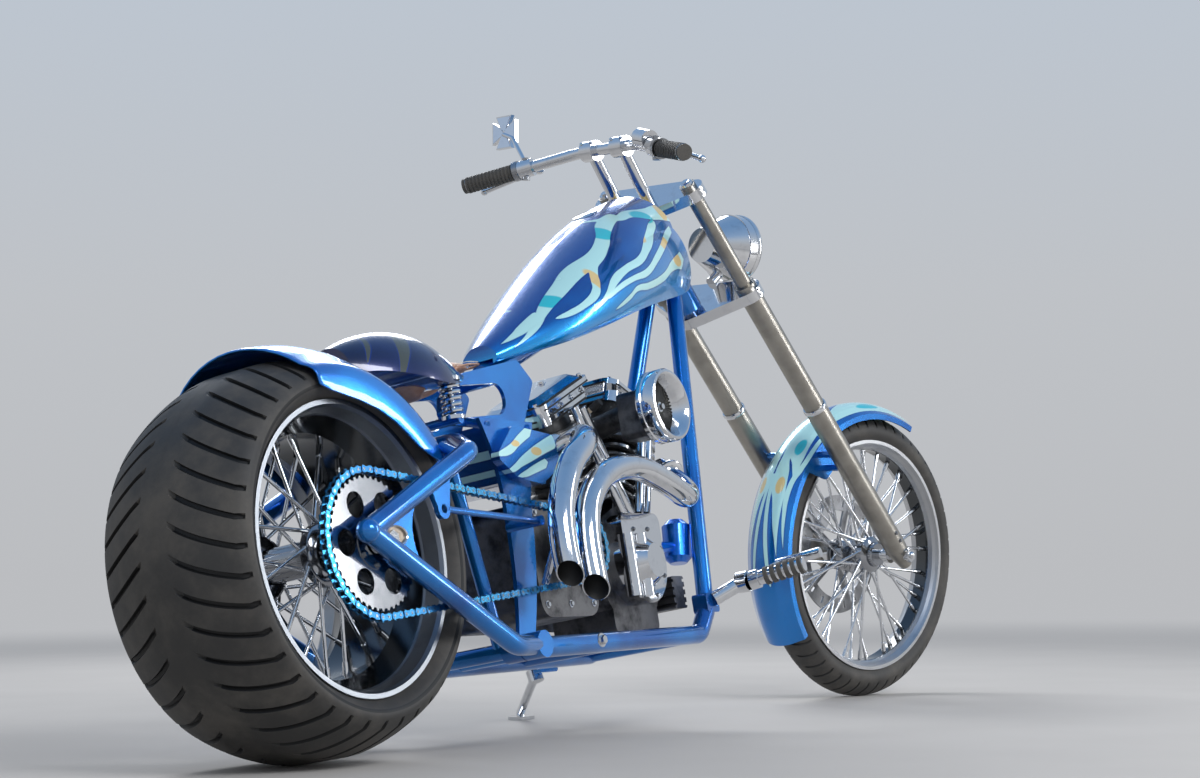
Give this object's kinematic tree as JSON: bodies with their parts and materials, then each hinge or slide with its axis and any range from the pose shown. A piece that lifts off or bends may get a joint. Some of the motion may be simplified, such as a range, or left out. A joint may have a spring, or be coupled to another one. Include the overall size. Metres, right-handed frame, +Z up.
{
  "type": "chopper motorcycle",
  "caption": "Long raked chopper motorcycle with a V-twin engine, chain drive, flamed tank and fenders, parked on its side stand with the fork turned.",
  "frame": {"origin": "on the ground, under the middle of the box of the whole parked motorcycle", "axes": "+X from the rear wheel towards the front wheel, +Y to the rider's left, the side of the stand, +Z up from the ground"},
  "size_m": [2.8031, 0.8569, 1.3586],
  "materials": {
    "rubber": "charcoal rubber",
    "chrome": "polished chrome",
    "steel": "brushed steel",
    "blue": "candy blue, gloss",
    "navy": "navy, gloss",
    "alloy": "cast, satin",
    "leather": "tan brown leather"
  },
  "bodies": {
    "frame": {"rear_axle": "chrome", "swingarm": "blue", "backbone": "blue", "bottom_rails": "blue", "cross_tubes": "blue", "downtubes": "blue", "seat_gussets": "blue", "seat_posts": "blue", "fuel_tank": "blue", "rear_fender": "blue", "seat_shell": "navy", "seat_pad": "leather", "seat_springs": "chrome", "oil_tank": "blue", "crankcase": "alloy", "rear_cylinder": "alloy", "front_cylinder": "alloy", "rocker_boxes": "chrome", "cam_cover": "chrome", "pushrod_tubes": "chrome", "carburettor": "alloy", "air_cleaner": "chrome", "rear_exhaust": "chrome", "front_exhaust": "chrome", "gearbox": "alloy", "primary_cover": "chrome", "filter_pod": "navy", "regulator": "alloy", "drive_sprocket": "steel", "drive_chain": "steel", "rear_caliper": "chrome", "foot_controls": "chrome"},
    "side_stand": {"side_stand": "chrome"},
    "rear_wheel": {"rear_tyre": "rubber", "rear_rim": "chrome", "rear_spokes": "chrome", "rear_sprocket": "steel", "rear_disc": "steel"},
    "fork": {"triple_trees": "chrome", "fork_legs": "steel", "front_axle": "chrome", "front_caliper": "chrome", "front_fender": "blue", "risers": "chrome", "handlebar": "chrome", "grips": "rubber", "hand_controls": "chrome", "mirror": "chrome", "headlamp": "chrome"},
    "front_wheel": {"front_tyre": "rubber", "front_rim": "chrome", "front_spokes": "chrome", "front_disc": "steel"}
  },
  "joints": [
    {"name": "steering", "type": "hinge", "parent": "frame", "child": "fork", "pos_m": [0.3795, 0.02857, 0.99566], "axis": [-0.6361, 0.132, 0.7603], "range_deg": [-14.7, 49.3]},
    {"name": "front_wheel_spin", "type": "hinge", "parent": "fork", "child": "front_wheel", "pos_m": [1.06564, -0.11783, 0.34482], "axis": [0.2295, 0.973, 0.023], "continuous": true},
    {"name": "rear_wheel_spin", "type": "hinge", "parent": "frame", "child": "rear_wheel", "pos_m": [-1.0705, -0.08673, 0.33159], "axis": [0, 0.9853, -0.1711], "continuous": true},
    {"name": "side_stand_fold", "type": "hinge", "parent": "frame", "child": "side_stand", "pos_m": [-0.1405, 0.04668, 0.10036], "axis": [0.0865, 0.4046, 0.9104], "range_deg": [0, 118]}
  ]
}
